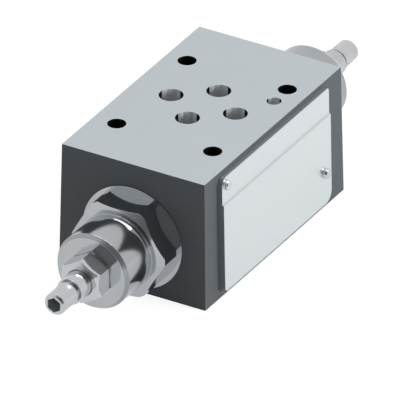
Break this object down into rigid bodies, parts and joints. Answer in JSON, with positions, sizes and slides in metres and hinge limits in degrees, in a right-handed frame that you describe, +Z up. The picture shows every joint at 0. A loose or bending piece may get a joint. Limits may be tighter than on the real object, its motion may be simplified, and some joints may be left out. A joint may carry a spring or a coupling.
{
  "type": "hydraulic sandwich valve",
  "caption": "Block-shaped stackable hydraulic valve with a screw-in adjusting cartridge at each end and a bare name plate on its side.",
  "frame": {"origin": "on the base face, midway between ports P and T", "axes": "+X along the cartridges towards side B, +Z up out of the top face, -Y out of the name plate"},
  "size_m": [0.1654, 0.0507, 0.04],
  "materials": {
    "block": "dark phosphated cast iron, ground bright on the top and base faces",
    "plate": "bare satin sheet",
    "rivets": "bright drive rivets",
    "plated_steel": "turned and bright zinc plated",
    "nut_steel": "bright zinc plated",
    "spindle_steel": "ground bright steel",
    "hardened_steel": "hardened and ground",
    "spring_steel": "drawn wire",
    "rubber": "black nitrile rubber",
    "backup_plastic": "white fluoroplastic"
  },
  "bodies": {
    "housing": {"valve_block": "block", "name_plate": "plate", "plate_rivets": "rivets", "port_seal_rings": "rubber", "cartridge_body_a": "plated_steel", "end_cap_a": "plated_steel", "body_seal_ring_a": "rubber", "nose_seal_ring_a": "rubber", "nose_backup_ring_a": "backup_plastic", "valve_seat_a": "hardened_steel", "cartridge_body_b": "plated_steel", "end_cap_b": "plated_steel", "body_seal_ring_b": "rubber", "nose_seal_ring_b": "rubber", "nose_backup_ring_b": "backup_plastic", "valve_seat_b": "hardened_steel"},
    "plate_a": {"spring_plate_a": "hardened_steel", "pressure_spring_a": "spring_steel"},
    "spindle_a": {"adjusting_spindle_a": "spindle_steel", "spindle_seal_ring_a": "rubber"},
    "nut_a": {"lock_nut_a": "nut_steel"},
    "poppet_a": {"poppet_a": "hardened_steel"},
    "plate_b": {"spring_plate_b": "hardened_steel", "pressure_spring_b": "spring_steel"},
    "spindle_b": {"adjusting_spindle_b": "spindle_steel", "spindle_seal_ring_b": "rubber"},
    "nut_b": {"lock_nut_b": "nut_steel"},
    "poppet_b": {"poppet_b": "hardened_steel"}
  },
  "joints": [
    {"name": "plate_travel_a", "type": "slide", "parent": "housing", "child": "plate_a", "axis": [-1, 0, 0], "range_m": [-0.0035, 0.00095], "deforming": ["pressure_spring_a"]},
    {"name": "spindle_turn_a", "type": "hinge", "parent": "plate_a", "child": "spindle_a", "pos_m": [-0.0727, 0, 0.0168], "axis": [-1, 0, 0], "range_deg": [-1900, 540]},
    {"name": "lock_nut_turn_a", "type": "hinge", "parent": "housing", "child": "nut_a", "pos_m": [-0.0655, 0, 0.0168], "axis": [-1, 0, 0], "range_deg": [0, 180]},
    {"name": "poppet_lift_a", "type": "slide", "parent": "housing", "child": "poppet_a", "axis": [-1, 0, 0], "range_m": [0, 0.0015], "stiffness_N_per_m": 400, "springref_m": -0.002},
    {"name": "plate_travel_b", "type": "slide", "parent": "housing", "child": "plate_b", "axis": [1, 0, 0], "range_m": [-0.0035, 0.00095], "deforming": ["pressure_spring_b"]},
    {"name": "spindle_turn_b", "type": "hinge", "parent": "plate_b", "child": "spindle_b", "pos_m": [0.0727, 0, 0.0168], "axis": [1, 0, 0], "range_deg": [-1900, 540]},
    {"name": "lock_nut_turn_b", "type": "hinge", "parent": "housing", "child": "nut_b", "pos_m": [0.0655, 0, 0.0168], "axis": [1, 0, 0], "range_deg": [0, 180]},
    {"name": "poppet_lift_b", "type": "slide", "parent": "housing", "child": "poppet_b", "axis": [1, 0, 0], "range_m": [0, 0.0015], "stiffness_N_per_m": 400, "springref_m": -0.002}
  ],
  "couplings": [
    {"joint": "spindle_turn_a", "follows": "plate_travel_a", "rad_per_m": 6283.2},
    {"joint": "spindle_turn_b", "follows": "plate_travel_b", "rad_per_m": 6283.2}
  ]
}
